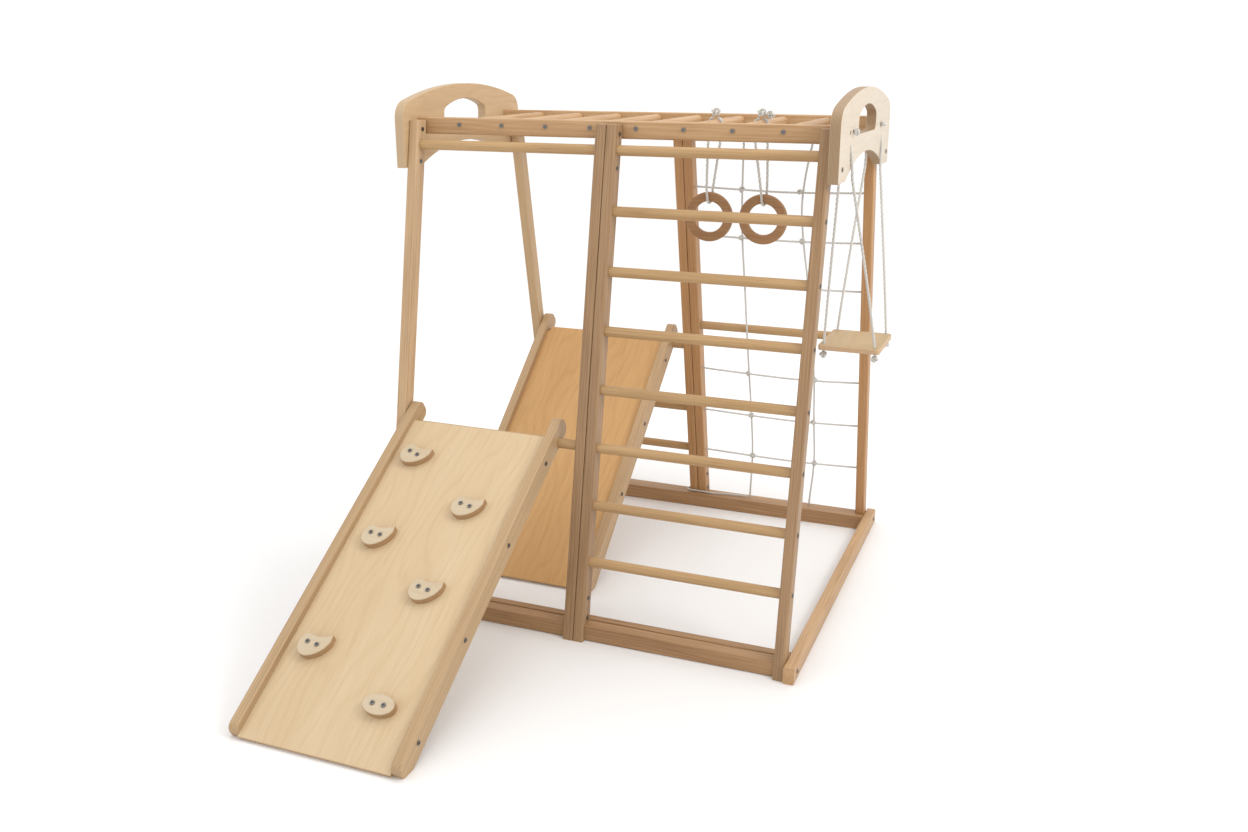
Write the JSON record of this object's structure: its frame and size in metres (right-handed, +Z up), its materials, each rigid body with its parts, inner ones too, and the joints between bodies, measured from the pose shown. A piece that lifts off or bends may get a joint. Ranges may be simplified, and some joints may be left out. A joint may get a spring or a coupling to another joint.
{
  "type": "indoor climbing frame with ladder, ramp, slide, net, rings and swing",
  "caption": "Indoor wooden climbing frame: leaning ladder side, overhead bars, climbing ramp, inner slide, rope net, hanging rings and a side swing.",
  "frame": {"origin": "on the floor, below the middle of the bounding box of everything but the net ropes", "axes": "+X to the right along the ladder face, +Y from the ladder face to the net face, +Z up"},
  "size_m": [1.3566, 1.9336, 1.488],
  "materials": {
    "pine": "clear satin varnish",
    "plywood": "sanded birch plywood",
    "slide_plywood": "varnished plywood",
    "ring_wood": "oiled hardwood",
    "cotton_rope": "laid white cotton rope",
    "bolt_steel": "zinc-plated hex socket heads"
  },
  "bodies": {
    "frame": {"back_left_low_rungs": "pine", "back_top_rungs": "pine", "bottom_rails_back": "pine", "bottom_rails_front": "pine", "end_panel_left": "plywood", "end_panel_right": "plywood", "floor_beam_back": "pine", "floor_beam_front": "pine", "frame_bolts": "bolt_steel", "front_left_top_rung": "pine", "ladder_rung_1": "pine", "ladder_rung_2": "pine", "ladder_rung_3": "pine", "ladder_rung_4": "pine", "ladder_rung_5": "pine", "ladder_rung_6": "pine", "ladder_rung_7": "pine", "ladder_rung_8": "pine", "monkey_bar_1": "pine", "monkey_bar_2": "pine", "monkey_bar_3": "pine", "monkey_bar_4": "pine", "monkey_bar_5": "pine", "monkey_bar_6": "pine", "monkey_bar_7": "pine", "monkey_bar_8": "pine", "net_mid_bar": "pine", "net_rows": "cotton_rope", "net_uprights": "cotton_rope", "panel_bolts": "bolt_steel", "post_back_left": "pine", "post_back_mid_left": "pine", "post_back_mid_right": "pine", "post_back_right": "pine", "post_front_left": "pine", "post_front_mid_left": "pine", "post_front_mid_right": "pine", "post_front_right": "pine", "ramp_pivot_rung": "pine", "side_rail_left": "pine", "side_rail_right": "pine", "slide_pivot_rung": "pine", "swing_rope_ends": "cotton_rope", "top_rail_back": "pine", "top_rail_front": "pine"},
    "ramp": {"ramp_board": "plywood", "ramp_bolts": "bolt_steel", "ramp_holds": "plywood", "ramp_rail_left": "pine", "ramp_rail_right": "pine"},
    "slide": {"slide_board": "slide_plywood", "slide_bolts": "bolt_steel", "slide_rail_left": "pine", "slide_rail_right": "pine"},
    "swing": {"swing_seat": "plywood", "swing_ropes": "cotton_rope"},
    "ring_left": {"ring_left": "ring_wood", "ring_rope_left": "cotton_rope"},
    "ring_right": {"ring_right": "ring_wood", "ring_rope_right": "cotton_rope"}
  },
  "joints": [
    {"name": "ramp_lift", "type": "hinge", "parent": "frame", "child": "ramp", "pos_m": [-0.38465, -0.09689, 0.536], "axis": [-1, 0, 0], "range_deg": [0, 75]},
    {"name": "slide_lift", "type": "hinge", "parent": "frame", "child": "slide", "pos_m": [-0.36265, 0.81944, 0.615], "axis": [-1, 0, 0], "range_deg": [0, 25]},
    {"name": "swing_sway", "type": "hinge", "parent": "frame", "child": "swing", "pos_m": [0.57665, 0.36875, 1.262], "axis": [0, -1, 0], "range_deg": [-25, 25]},
    {"name": "ring_left_sway", "type": "hinge", "parent": "frame", "child": "ring_left", "pos_m": [0.15935, 0.36875, 1.381], "axis": [0, -1, 0], "range_deg": [-40, 2]},
    {"name": "ring_right_sway", "type": "hinge", "parent": "frame", "child": "ring_right", "pos_m": [0.29335, 0.36875, 1.381], "axis": [0, -1, 0], "range_deg": [-2, 40]}
  ]
}
